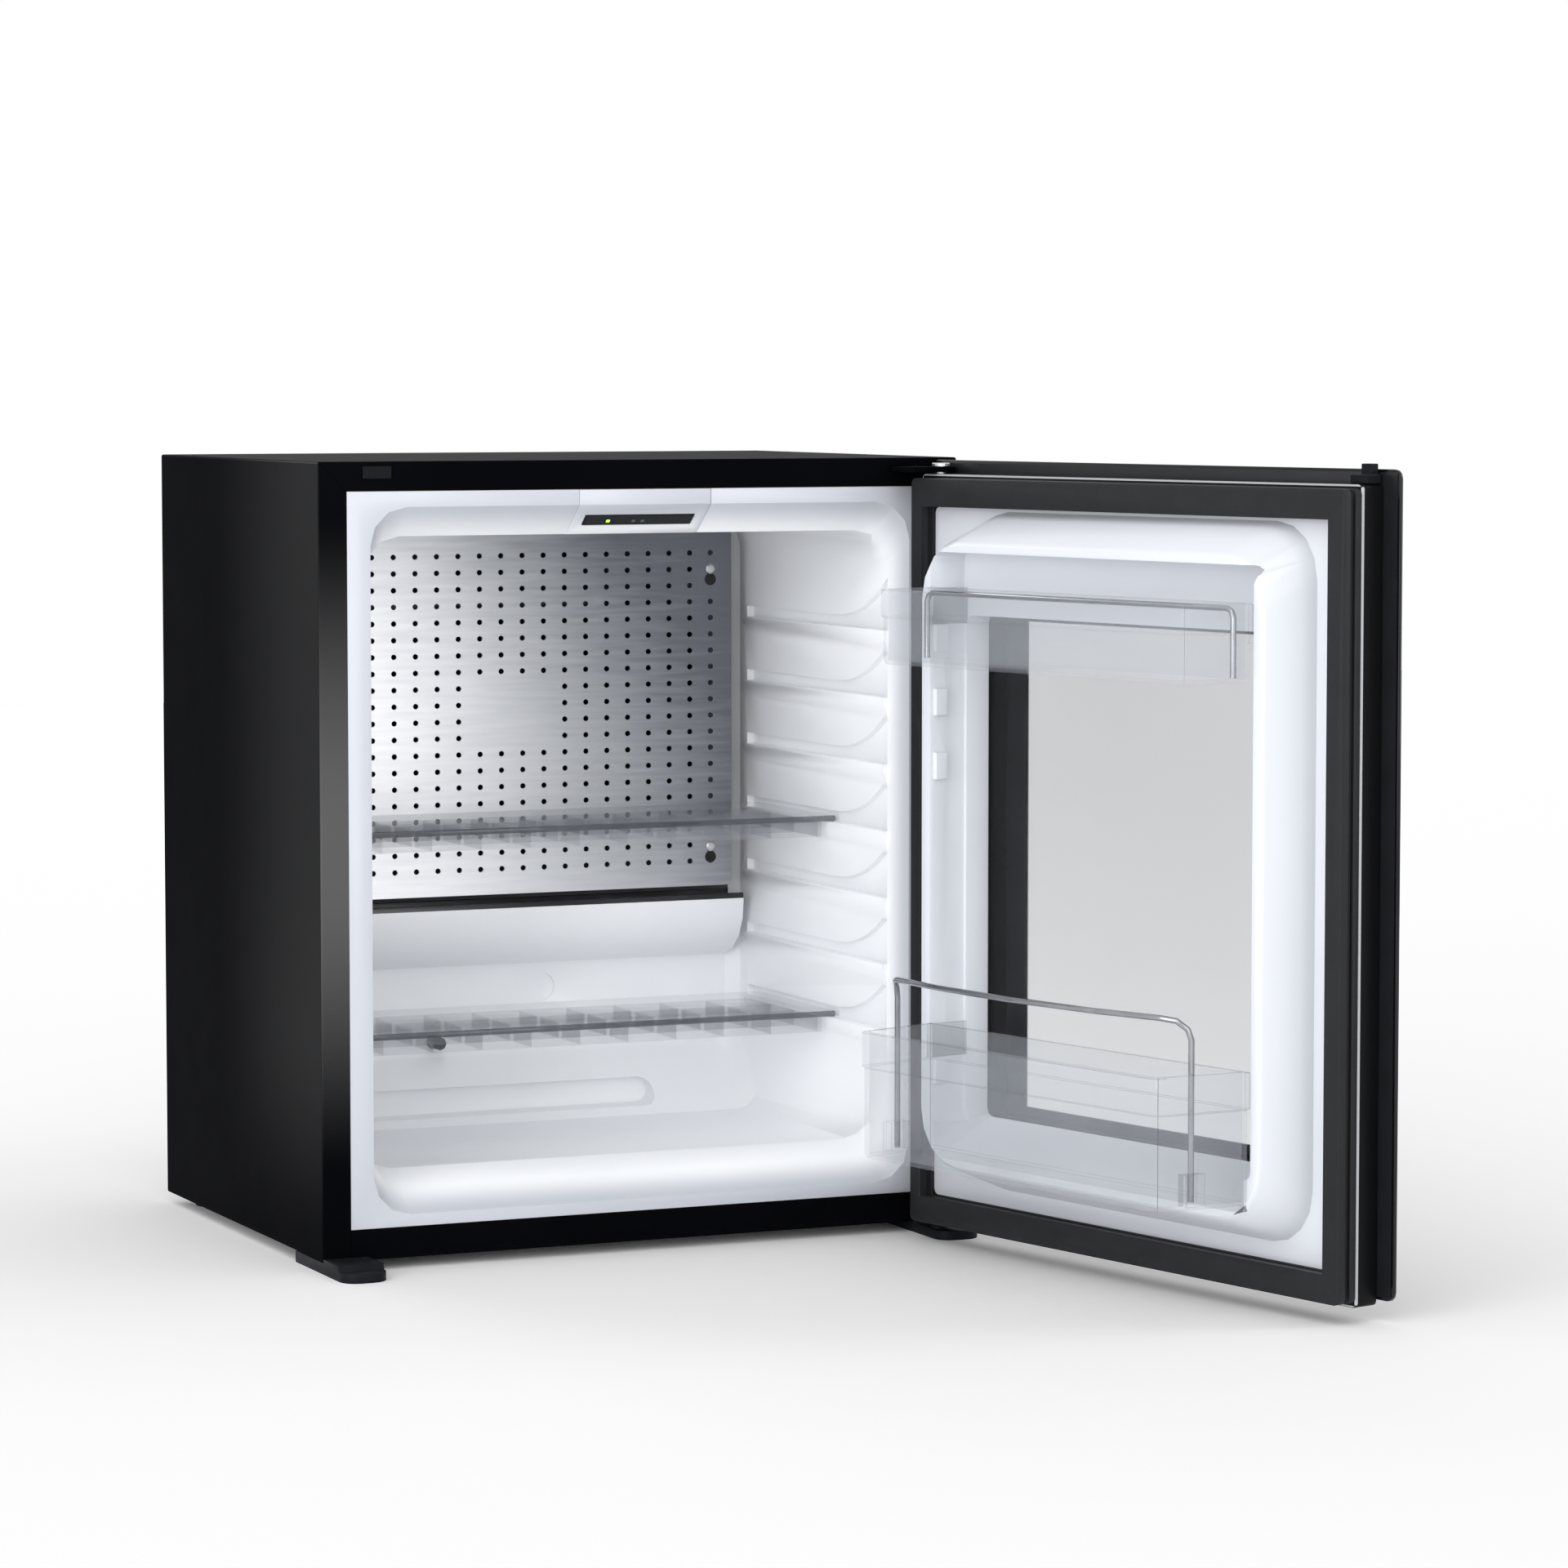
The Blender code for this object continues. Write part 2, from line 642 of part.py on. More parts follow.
def make_shelf(name, top, slot="clear_plastic"):
    """Clear shelf: a slab over a grid of moulded ribs, made by pocketing a block."""
    low = top + GAP
    slab = box(name, (-SHELF_X, SHELF_X), (depth(SHELF_FRONT), depth(SHELF_BACK)),
               (low, low + SHELF_T))
    bevel(slab, 0.0009, 1)
    block = box("rib_block", (-RIB_X - RIB_T / 2, RIB_X + RIB_T / 2),
                (depth(SHELF_FRONT + 0.004), depth(SHELF_BACK - 0.004)),
                (low - RIB_DROP, low + 0.001))
    pitch = 2 * RIB_X / 10
    room = (SHELF_BACK - SHELF_FRONT - 0.008 - RIB_T) / 3
    pockets = []
    for i in range(10):
        for j in range(3):
            x = -RIB_X + i * pitch + RIB_T / 2
            y = SHELF_FRONT + 0.004 + RIB_T + j * room
            pockets.append(box("pocket", (x, x + pitch - RIB_T), (depth(y), depth(y + room - RIB_T)),
                               (low - RIB_DROP - 0.005, low)))
    part(cut(fuse(slab, block), gather("pockets", pockets)), slot, smooth=False)


def make_feet():
    """Front foot, rear feet, and the hinge plates with their pins."""
    side = [(depth(0.060), -FOOT_H), (depth(0.060), -GAP), (depth(-0.0004), -GAP),
            (depth(-0.0004), 0.0024), (depth(-0.031), 0.0024), (depth(-0.0325), -0.0017),
            (depth(-0.046), -0.0017), (depth(-0.046), -FOOT_H)]
    plan = rounded((-0.243, -0.210), (depth(-0.046), depth(0.060)), (0.012, 0.012, 0.002, 0.002), 4)
    foot = prism("front_foot", side, "X", -0.243, -0.210)
    combine(foot, prism("foot_plan", plan, "Z", -0.02, 0.02), "INTERSECT")
    sockets = [rod("socket", 0.0019, (x, depth(y), -0.005), (x, depth(y), 0.02), 10)
               for x, y in ((-0.2348, -0.0052), (-0.2146, -0.0062), (-0.224, -0.0265))]
    part(cut(foot, gather("foot_sockets", sockets)), "grey_plastic", smooth=False)
    side = [(depth(0.060), -FOOT_H), (depth(0.060), -GAP), (depth(-0.0004), -GAP),
            (depth(-0.002), -0.0017), (depth(-0.046), -0.0017), (depth(-0.046), -FOOT_H)]
    plan = rounded((0.210, 0.243), (depth(-0.046), depth(0.060)), (0.012, 0.012, 0.002, 0.002), 4)
    bracket = prism("lower_hinge_bracket", side, "X", 0.210, 0.243)
    combine(bracket, prism("bracket_plan", plan, "Z", -0.02, 0.02), "INTERSECT")
    fuse(bracket, rod("boss", 0.0065, (PIN_X, depth(PIN_Y), -0.004), (PIN_X, depth(PIN_Y), 0.0024), 16))
    cut(bracket, rod("pin_seat", PIN_R + GAP, (PIN_X, depth(PIN_Y), -0.0055),
                     (PIN_X, depth(PIN_Y), 0.02), 16))
    part(bracket, "grey_plastic", smooth=False)
    pin = [(0, 0.017), (0.0030, 0.017), (PIN_R, 0.016), (PIN_R, -0.0052), (0, -0.0052)]
    part(turned("lower_hinge_pin", pin, (PIN_X, depth(PIN_Y), 0)), "zinc_plate")
    pin = [(0, 0.5505), (0.0060, 0.5505), (0.0065, 0.5500), (0.0065, 0.5483), (PIN_R, 0.5483),
           (PIN_R, 0.5300), (0.0030, 0.5290), (0, 0.5290)]
    part(turned("upper_hinge_pin", pin, (PIN_X, depth(PIN_Y), 0)), "zinc_plate")
    plan = [(0.1905, 0.030), (0.1905, -0.003), (0.187, -0.007), (0.187, -0.030), (0.1925, -0.0355),
            (0.2180, -0.0357), (0.2230, -0.0344), (0.2266, -0.0308), (0.2278, -0.0260),
            (0.2266, -0.0210), (0.2230, -0.0176), (0.2130, -0.0110), (0.2105, -0.006),
            (0.2105, 0.030)]
    plate = prism("upper_hinge_plate", [(x, depth(y)) for x, y in plan], "Z", 0.5441, 0.5479)
    cut(plate, rod("pin_bore", PIN_R + GAP, (PIN_X, depth(PIN_Y), 0.53), (PIN_X, depth(PIN_Y), 0.56), 16))
    part(plate, "black_steel", smooth=False)
    pad = [(0, -GAP), (0.010, -GAP), (0.010, -0.002), (0.014, -0.003), (0.014, -0.007),
           (0.013, -FOOT_H), (0, -FOOT_H)]
    for side, sx in (("left", -1), ("right", 1)):
        part(turned(f"rear_foot_{side}", pad, (sx * 0.215, depth(0.330), 0), 14), "grey_plastic")


def back(y):
    """Distance behind the back panel, as a world Y."""
    return depth(UNIT_Y + y)


def make_cooling_unit():
    """Absorption unit on the back: boiler, condenser, coil, vessel, drain and inlet."""
    boiler = box("boiler_case", (-0.205, -0.135), (back(0.010), back(0.080)), (0.110, 0.300))
    part(bevel(boiler, 0.006, 2), "galvanised", smooth=False)
    pump = [(-0.170, back(0.045), 0.3005), (-0.170, back(0.045), 0.505), (-0.166, back(0.045), 0.516),
            (-0.155, back(0.045), 0.520), (0.175, back(0.045), 0.512)]
    condenser = wire("condenser", pump, 0.008)
    fins = [box("fin", (x, x + 0.0012), (back(0.015), back(0.078)), (0.486, 0.545))
            for x in [-0.125 + 0.0245 * i for i in range(12)]]
    part(fuse(condenser, gather("condenser_fins", fins)), "galvanised", smooth=False)
    coil = []
    for i in range(4):
        z = COIL_TOP - 0.055 * i
        coil.append((COIL_X if i else COIL_X + COIL_R, back(0.030), z))
        left = (-0.095, back(0.030), z - 0.004)
        coil += [left, (-0.112, back(0.030), z - 0.014), (-0.112, back(0.030), z - 0.024),
                 (-0.095, back(0.030), z - 0.031)]
        if i < 3:
            coil += [(COIL_X, back(0.030), z - 0.035), (0.180, back(0.030), z - 0.040),
                     (0.180, back(0.030), z - 0.050)]
    top = VESSEL_Z + VESSEL_R + GAP
    coil += [(0.088, back(0.030), 0.201), (0.098, back(0.032), 0.197), (0.101, back(0.036), 0.188),
             (0.101, back(0.040), 0.176), (0.101, back(0.040), top)]
    part(wire("absorber_coil", coil, COIL_R, 1), "galvanised")
    ends = ((-VESSEL_X, back(0.040), VESSEL_Z), (VESSEL_X, back(0.040), VESSEL_Z))
    part(rod("absorber_vessel", VESSEL_R, *ends, 18), "galvanised", smooth=False)
    pipe = [(-0.170, back(0.045), 0.1097), (-0.170, back(0.045), 0.072),
            (-0.158, back(0.045), 0.060), (0.142, back(0.045), 0.056),
            (0.153, back(0.045), 0.062), (0.157, back(0.045), 0.074), (0.157, back(0.044), 0.116),
            (0.153, back(0.042), 0.126), (0.142, back(0.040), VESSEL_Z),
            (VESSEL_X + GAP, back(0.040), VESSEL_Z)]
    part(wire("heat_exchanger", pipe, 0.009), "galvanised")
    for side, x in (("left", -0.080), ("right", 0.085)):
        strap = box(f"unit_bracket_{side}", (x, x + 0.018), (back(GAP), back(0.0015)), (0.100, 0.4857))
        tabs = [box("tab", (x, x + 0.018), (back(0.001), back(reach)), (z, z + 0.0015))
                for z, reach in ((0.1022, 0.050), (0.4842, 0.034))]
        part(fuse(strap, gather("tabs", tabs)), "galvanised", smooth=False)
    hose = [(HOSE_AT[0], depth(0.285), HOSE_AT[1]), (HOSE_AT[0], back(0.004), HOSE_AT[1]),
            (-0.050, back(0.0070), 0.108), (-0.050, back(0.0078), 0.103), (-0.050, back(0.0078), 0.043)]
    part(wire("drain_hose", hose, HOSE_R), "black_plastic")
    tray = box("evaporation_tray", (-0.100, 0.060), (back(GAP), back(0.080)), (0.020, 0.046))
    bevel(tray, 0.003, 2)
    part(cut(tray, box("tray_room", (-0.098, 0.058), (back(0.0025), back(0.078)), (0.022, 0.06))),
         "black_plastic", smooth=False)
    housing = box("electrical_box", (0.105, 0.195), (back(GAP), back(0.055)), (0.005, 0.0455))
    bevel(housing, 0.002, 2)
    seat = box("inlet_seat", (0.1355, 0.1645), (back(0.035), back(0.06)), (0.0125, 0.0375))
    part(cut(housing, seat), "black_plastic", smooth=False)
    inlet = box("power_inlet", (0.1360, 0.1640), (back(0.0355), back(0.0565)), (0.0130, 0.0370))
    well = box("inlet_well", (0.1385, 0.1615), (back(0.040), back(0.07)), (0.0155, 0.0345))
    pins = [box("blade", (x - 0.001, x + 0.001), (back(0.038), back(0.054)), (0.022, 0.028))
            for x in (0.143, 0.150, 0.157)]
    part(fuse(cut(inlet, well), gather("inlet_pins", pins)), "black_plastic", smooth=False)


def dike_shape(name, inset):
    """Raised rib around the door liner, every outer wall moved inward by the inset."""
    rings = []
    stations = ((BORDER_V + 0.003, 0.0368, 0.5188), (BORDER_V, 0.038, 0.5175),
                (CREST_V + 0.003, 0.0563, 0.4978),
                (CREST_V + inset, 0.0575, 0.4965))
    for i, (v, low, high) in enumerate(stations):
        trim = 0.0015 if i == 3 and inset == 0 else 0.0
        outline = rounded((DIKE_U[0] + inset + trim, DIKE_U[1] - inset - trim),
                          (low + inset + trim, high - inset - trim),
                          (0.038 - inset,) * 4, 4)
        rings.append([(u, v, z) for u, z in outline])
    return loft(name, rings)


def dike_rooms(grow):
    """Pocket inside the rib and the window through the liner."""
    floor = grown(WINDOW_U, grow)
    pocket = rounded(grown(POCKET_U, grow), (0.086 - grow, 0.490 + grow), (0.006,) * 4)
    header = prism("pocket", pocket, "Y", CREST_V - 0.004, HEADER_V + grow)
    window = prism("window", rounded(floor, (WINDOW_Z[0] - grow, WINDOW_Z[1] + grow), (0.006,) * 4, 2),
                   "Y", CREST_V - 0.005, -0.004)
    low = [(CREST_V - 0.004, 0.0618 - grow), (BORDER_V + 0.001, 0.0875 - grow),
           (BORDER_V + 0.001, 0.110), (CREST_V - 0.004, 0.110)]
    sill = prism("window_sill", low, "X", floor[0] + 0.004, floor[1] - 0.004)
    return header, window, sill


def make_door():
    """Door leaf: frame, glass, liner, foam and gasket, all riding on the hinge axis."""
    frame = prism("door_frame", rounded(FRAME_U, FRAME_Z, (0.003,) * 4, 2), "Y", *FRAME_V)
    inner_u = (0.014, 0.4227)
    inner_z = (0.027, 0.5188)
    cut(frame, box("frame_room", inner_u, grown(FRAME_V, 0.01), inner_z))
    bores = [rod("bush_seat", BUSH_R + GAP, (0, 0, 0.524), (0, 0, 0.55), 16),
             rod("bush_seat_low", BUSH_R + GAP, (0, 0, 0), (0, 0, 0.0205), 16)]
    part(cut(frame, gather("bush_seats", bores)), "black_plastic", DOOR_AXIS, smooth=False)
    for name, z in (("lower_bush", 0.0034), ("upper_bush", 0.5278)):
        bush = rod(name, BUSH_R, (0, 0, z), (0, 0, z + 0.0145), 16)
        bore = rod("bore", PIN_R + GAP, (0, 0, z - 0.01), (0, 0, z + 0.03), 16)
        part(cut(bush, bore), "grey_plastic", DOOR_AXIS, smooth=False)
    plan = rounded(SKIN_U, SKIN_Z, (0.006,) * 4, 3)
    glass = prism("door_glass", plan, "Y", *SKIN_V)
    edge = [(SKIN_U[0], SKIN_V[0] - 0.001), (SKIN_U[0] + 0.0006, SKIN_V[0] + 0.0014),
            (SKIN_U[0] + 0.0022, SKIN_V[1] + 0.0004), (SKIN_U[0] - 0.002, SKIN_V[1] + 0.0004),
            (SKIN_U[0] - 0.002, SKIN_V[0] - 0.001)]
    part(cut(glass, prism("glass_edge", edge, "Z", 0, 0.56)), "door_glass", DOOR_AXIS, smooth=False)
    part(ring("printed_border", grown(SKIN_U, -0.002), grown(SKIN_Z, -0.002), CLEAR_U, CLEAR_Z, PRINT_V),
         "black_print", DOOR_AXIS, smooth=False)
    spacer_u, spacer_z = grown(WINDOW_U, 0.005), grown(WINDOW_Z, 0.005)
    spacer = ring("window_spacer", spacer_u, spacer_z, WINDOW_U, WINDOW_Z, FRAME_V)
    cut(spacer, box("pane_seat", grown(WINDOW_U, 0.0025), (-0.02, -0.0046), grown(WINDOW_Z, 0.0025)))
    part(spacer, "black_plastic", DOOR_AXIS, smooth=False)
    part(box("inner_pane", grown(WINDOW_U, 0.0021), (-0.0087, -0.0050), grown(WINDOW_Z, 0.0021)),
         "door_glass", DOOR_AXIS, smooth=False)
    core = dike_shape("liner_core", LINER_SKIN)
    cut(core, *dike_rooms(LINER_SKIN))
    liner = prism("door_liner", rounded(BORDER_U, BORDER_Z, (0.004,) * 4, 2), "Y", BORDER_V,
                  FRAME_V[0] - GAP)
    fuse(liner, dike_shape("dike", 0))
    cut(liner, *dike_rooms(0))
    lugs = [box("lug", u, (-0.057, -0.046), (top - LUG_H, top)) for top in LUG_TOPS
            for u in ((POCKET_U[0] - 0.001, POCKET_U[0] + 0.0030),
                      (POCKET_U[1] - 0.0030, POCKET_U[1] + 0.001))]
    cut(liner, core)
    fuse(liner, bevel(gather("lugs", lugs), 0.0008, 1))
    part(liner, "white_liner", DOOR_AXIS, smooth=False)
    foam = ring("door_foam", grown(inner_u, -GAP), grown(inner_z, -GAP), grown(spacer_u, GAP),
                grown(spacer_z, GAP), (FRAME_V[0] + GAP, FRAME_V[1]))
    part(foam, "foam", DOOR_AXIS, smooth=False)
    gasket = ring("door_gasket", GASKET_U, GASKET_Z, grown(BORDER_U, GAP), grown(BORDER_Z, GAP),
                  (GASKET_V, FRAME_V[0] - GAP), 0.004)
    channel = (-0.0185, -0.0145)
    waist = ring("gasket_waist", grown(GASKET_U, 0.004), grown(GASKET_Z, 0.004),
                 grown(GASKET_U, -0.003), grown(GASKET_Z, -0.003), channel)
    cut(gasket, waist, box("gasket_inside", grown(BORDER_U, 0.0025), channel, grown(BORDER_Z, 0.0025)))
    part(gasket, "gasket_rubber", DOOR_AXIS, smooth=False)
    cap = box("latch_cap", (0.430, 0.446), (-0.004, 0.0095), (FRAME_Z[1] + GAP, 0.549))
    fuse(cap, box("latch_hook", (0.433, 0.443), (0.003, 0.0095), (0.548, 0.556)))
    part(bevel(cap, 0.0006, 1), "grey_plastic", DOOR_AXIS, smooth=False)


def tray_outline(rear, front, v_rear, v_front, inset):
    """Plan of a door rack, narrower at the front with rounded corners."""
    u0, u1 = rear[0] + inset, rear[1] - inset
    f0, f1 = front[0] + inset, front[1] - inset
    v0, v1 = v_rear - inset, v_front + inset
    r = 0.008
    return [(u0, v0), (f0, v1 + r), (f0 + 0.3 * r, v1 + 0.3 * r), (f0 + r, v1),
            (f1 - r, v1), (f1 - 0.3 * r, v1 + 0.3 * r), (f1, v1 + r), (u1, v0)]


def make_rack(name, front, v_front, low, top, step, wing_low):
    """Clear door rack with a thicker rim and wings that hang on the liner lugs."""
    rear = (0.066, 0.400)
    v_rear = CREST_V - 0.0006
    levels = ((low, 0.0025), (low + 0.003, 0.0012), (top - step - 0.001, 0.0012), (top - step, 0),
              (top - 0.0008, 0), (top, 0.0006))
    rings = [[(u, v, z) for u, v in tray_outline(rear, front, v_rear, v_front, inset)]
             for z, inset in levels]
    rack = loft(name, rings)
    room = prism("rack_room", tray_outline(rear, front, v_rear, v_front, 0.0036), "Z", low + 0.0026,
                 top + 0.01)
    cut(rack, room)
    wings = [box("wing", (POCKET_U[0] + 0.0008, POCKET_U[0] + 0.0030 + 0.0015), (CREST_V - 0.003, -0.030),
                 (wing_low, top - 0.001)),
             box("wing_free", (POCKET_U[1] - 0.0045, POCKET_U[1] - 0.0008), (CREST_V - 0.003, -0.030),
                 (wing_low, top - 0.001))]
    return fuse(rack, gather("wings", wings))


def make_racks():
    """Both racks and the wire guards that stand in them."""
    upper = make_rack("rack_upper", (0.072, 0.394), -0.115, 0.4135, 0.4655, 0.019, 0.4393)
    part(upper, "clear_plastic", DOOR_AXIS, smooth=False)
    lower = make_rack("rack_lower", (0.073, 0.390), -0.132, 0.070, 0.1585, 0.0245, 0.1340)
    sockets = [box("rail_socket", u, (-0.108, -0.092), (0.0720, 0.093))
               for u in ((0.0715, 0.0810), (0.3835, 0.3925))]
    seats = [rod("rail_seat", 0.0023, (u, -0.100, 0.0745), (u, -0.100, 0.11), 10)
             for u in (0.0775, 0.3868)]
    part(cut(fuse(lower, gather("rail_sockets", sockets)), gather("rail_seats", seats)),
         "clear_plastic", DOOR_AXIS, smooth=False)
    rail = [(0.0735, -0.071, 0.4165), (0.0735, -0.071, 0.456), (0.0753, -0.071, 0.4602),
            (0.0795, -0.071, 0.462), (0.3865, -0.071, 0.462), (0.3907, -0.071, 0.4602),
            (0.3925, -0.071, 0.456), (0.3925, -0.071, 0.4165)]
    part(wire("rail_upper", rail, 0.002), "steel_wire", DOOR_AXIS)
    rail = [(0.0775, -0.100, 0.0750), (0.0775, -0.100, 0.181), (0.0790, -0.102, 0.188),
            (0.0840, -0.107, 0.1935), (0.0940, -0.113, 0.195), (0.150, -0.122, 0.195),
            (0.232, -0.126, 0.195), (0.314, -0.122, 0.195), (0.3700, -0.113, 0.195),
            (0.3800, -0.107, 0.1935), (0.3853, -0.102, 0.188), (0.3868, -0.100, 0.181),
            (0.3868, -0.100, 0.0750)]
    part(wire("rail_lower", rail, 0.002), "steel_wire", DOOR_AXIS)


make_case()
make_liner()
make_control()
make_plate()
make_shelf("shelf_upper", LEDGE_FIRST + 3 * LEDGE_PITCH)
make_shelf("shelf_lower", LEDGE_FIRST)
make_feet()
make_cooling_unit()
make_door()
make_racks()
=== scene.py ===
# %% Minibar fridge, standing open
import json
import math

import bpy
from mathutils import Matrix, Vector


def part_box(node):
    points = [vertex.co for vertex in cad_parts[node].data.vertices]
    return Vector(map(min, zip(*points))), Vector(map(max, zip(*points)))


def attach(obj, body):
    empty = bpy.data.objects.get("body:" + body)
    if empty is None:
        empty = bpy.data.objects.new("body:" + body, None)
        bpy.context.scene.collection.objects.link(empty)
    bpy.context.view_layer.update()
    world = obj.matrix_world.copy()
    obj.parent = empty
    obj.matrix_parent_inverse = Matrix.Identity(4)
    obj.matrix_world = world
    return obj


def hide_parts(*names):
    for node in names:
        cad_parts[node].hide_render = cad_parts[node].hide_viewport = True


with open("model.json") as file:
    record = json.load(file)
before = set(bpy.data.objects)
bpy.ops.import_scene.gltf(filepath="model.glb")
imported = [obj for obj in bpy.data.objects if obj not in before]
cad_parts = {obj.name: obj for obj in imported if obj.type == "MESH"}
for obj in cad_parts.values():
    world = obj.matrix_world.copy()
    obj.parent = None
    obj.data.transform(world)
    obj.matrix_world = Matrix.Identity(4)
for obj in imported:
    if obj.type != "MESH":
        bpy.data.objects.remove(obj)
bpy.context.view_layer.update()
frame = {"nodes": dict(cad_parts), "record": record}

NODES = frame["nodes"]
SHELVES = ("shelf_upper", "shelf_lower")
RACKS = ("rack_upper", "rack_lower")
STILE_X, RAIL_Z = 0.2225, 0.5336
FRONT = -0.178
PIN = (0.218, -0.204)
TURN = math.radians(103)
E = (-math.cos(TURN), -math.sin(TURN))
N = (math.sin(TURN), -math.cos(TURN))

# %% [markdown]
# The camera stands to the left of the fridge, above it and far back, as for a catalogue picture.
# A long lens keeps the sides of the case nearly parallel, and a slight pitch frames all of it.

# %% Camera
camera_data = bpy.data.cameras.new("camera")
camera_data.sensor_width = 36
camera_data.lens = 6555.8 / 1920 * 36
camera_data.clip_end = 50
camera = bpy.data.objects.new("camera", camera_data)
bpy.context.scene.collection.objects.link(camera)
camera.location = (-1.44914, -3.48272 - 0.178, 0.61679)
camera.rotation_euler = (math.radians(90 - 4.42287), 0, math.radians(-24.07013))
bpy.context.scene.camera = camera
bpy.context.scene.view_settings.view_transform = "Standard"
print("lens", round(camera_data.lens, 2))

# %% [markdown]
# Shader values are written as plain arithmetic. Each value wraps one socket, so that a pattern
# reads as the formula that it is, and one method makes every node.


# %% Shader arithmetic
class Value:
    """A shader socket that takes part in Python arithmetic."""

    def __init__(self, tree, socket):
        self.tree = tree
        self.socket = socket

    def make(self, kind, inputs, output=0, **settings):
        node = self.tree.nodes.new(kind)
        for key, value in settings.items():
            setattr(node, key, value)
        for key, value in inputs.items():
            if isinstance(value, Value):
                self.tree.links.new(value.socket, node.inputs[key])
            else:
                node.inputs[key].default_value = value
        return Value(self.tree, node.outputs[output])

    def math(self, operation, a, b=0.0, clamp=False):
        return self.make("ShaderNodeMath", {0: a, 1: b}, operation=operation, use_clamp=clamp)

    def __add__(self, other):
        return self.math("ADD", self, other)

    def __sub__(self, other):
        return self.math("SUBTRACT", self, other)

    def __rsub__(self, other):
        return self.math("SUBTRACT", other, self)

    def __mul__(self, other):
        return self.math("MULTIPLY", self, other)

    def __lt__(self, other):
        return self.math("LESS_THAN", self, other)

    def __gt__(self, other):
        return self.math("GREATER_THAN", self, other)

    def __abs__(self):
        return self.math("ABSOLUTE", self)

    __radd__ = __add__
    __rmul__ = __mul__

    def step(self, low, high):
        """0 below low, 1 above high, smooth between."""
        return self.make("ShaderNodeMapRange", {"Value": self, "From Min": low, "From Max": high},
                         interpolation_type="SMOOTHSTEP")

    def tint(self, dark, light):
        """Colour between dark and light, each three numbers or another colour."""
        ends = [end if isinstance(end, Value) else (*end, 1) for end in (dark, light)]
        return self.make("ShaderNodeMix", {0: self, 6: ends[0], 7: ends[1]}, output=2,
                         data_type="RGBA")


class Finish:
    """A material built on one Principled shader, with its patterns in object space."""

    def __init__(self, name):
        self.material = bpy.data.materials.new(name)
        self.material.use_nodes = True
        tree = self.material.node_tree
        self.shader = tree.nodes["Principled BSDF"]
        coordinates = tree.nodes.new("ShaderNodeTexCoord")
        self.place = Value(tree, coordinates.outputs["Object"])
        split = tree.nodes.new("ShaderNodeSeparateXYZ")
        tree.links.new(coordinates.outputs["Object"], split.inputs[0])
        self.x, self.y, self.z = (Value(tree, out) for out in split.outputs)

    def noise(self, scale, stretch=(1, 1, 1), detail=3.0, rough=0.5):
        """Cloudy pattern from 0 to 1; stretch lengthens it along an axis."""
        shrink = tuple(1 / s for s in stretch)
        place = self.place.make("ShaderNodeMapping", {"Vector": self.place, "Scale": shrink})
        return self.place.make("ShaderNodeTexNoise", {"Vector": place, "Scale": scale,
                                                      "Detail": detail, "Roughness": rough})

    def door(self):
        """Distances along the door from its pins and out through it."""
        dx, dy = self.x - PIN[0], self.y - PIN[1]
        return dx * E[0] + dy * E[1], dx * N[0] + dy * N[1]

    def bump(self, height, distance, strength=1.0):
        return self.place.make("ShaderNodeBump", {"Height": height, "Distance": distance,
                                                  "Strength": strength})

    def set(self, **values):
        for key, value in values.items():
            socket = self.shader.inputs[key.replace("_", " ")]
            if isinstance(value, Value):
                self.material.node_tree.links.new(value.socket, socket)
            else:
                socket.default_value = value
        return self


def apply(finish, *names):
    """Give the finish to CAD nodes or pieces, by name."""
    for name in names:
        item = NODES.get(name) or bpy.data.objects[name]
        item.data.materials.clear()
        item.data.materials.append(finish.material)


FIN = {}
print("shader classes ready")

# %% [markdown]
# The case is cold-rolled sheet, folded and powder coated satin black. The coat has a fine
# orange peel. Its extra gloss on the front stiles, half way up, and at the front of the sides is
# a painted reflection.
# The mitred corners of the front frame show as a hairline.

# %% Painted case
f = Finish("black_steel")
cloud = f.noise(7, detail=2)
mitre = abs((abs(f.x) - STILE_X) - (f.z - RAIL_Z)) < 0.00030
half_way = f.z.step(0.06, 0.27) - f.z.step(0.29, 0.52)
# Painted reflection: extra coat on the front stiles half way up and on the front of the sides.
stile_painted_reflection = (f.y < FRONT + 0.001) * (abs(f.x) > STILE_X) * half_way
flank_painted_reflection = (abs(f.x) > 0.2425) * (0.12 - 0.12 * f.y.step(FRONT, 0.06))
painted_reflection = stile_painted_reflection + flank_painted_reflection * f.z.step(0.0, 0.16)
corner = mitre * (f.z > RAIL_Z) * (abs(f.x) > STILE_X) * (f.y < FRONT + 0.001)
f.set(Base_Color=(cloud - corner * 0.9).tint((0.0012, 0.0013, 0.0018), (0.0028, 0.0030, 0.0042)),
      Roughness=0.36 + 0.10 * f.noise(40), Specular_IOR_Level=0.003, IOR=1.4,
      Coat_Weight=painted_reflection, Coat_Roughness=0.34, Coat_IOR=1.8,
      Normal=f.bump(f.noise(520, detail=2), 0.0004, 0.12))
FIN["black_steel"] = f

f = Finish("black_plastic")
u, v = f.door()
# Painted highlight: a bright line along the door frame's outer edge and its free edge.
edge = (u < -0.0086) + (f.z < 0.0044) + (f.z > 0.5414)
painted_edge_highlight = edge.math("MINIMUM", edge, 1.0) * (v < -0.0088) * (f.y < FRONT) * (u > -0.0105)
painted_edge_highlight = painted_edge_highlight + (u > 0.4462) * (v < -0.0065) * (f.y < FRONT)
f.set(Base_Color=(0.006 * f.noise(30) + painted_edge_highlight).tint((0.0022, 0.0024, 0.0032), (0.42, 0.44, 0.46)),
      Roughness=0.42 + 0.12 * f.noise(60), Specular_IOR_Level=0.10,
      Normal=f.bump(f.noise(900), 0.0003, 0.15))
FIN["black_plastic"] = f
print("case and plastic finishes")
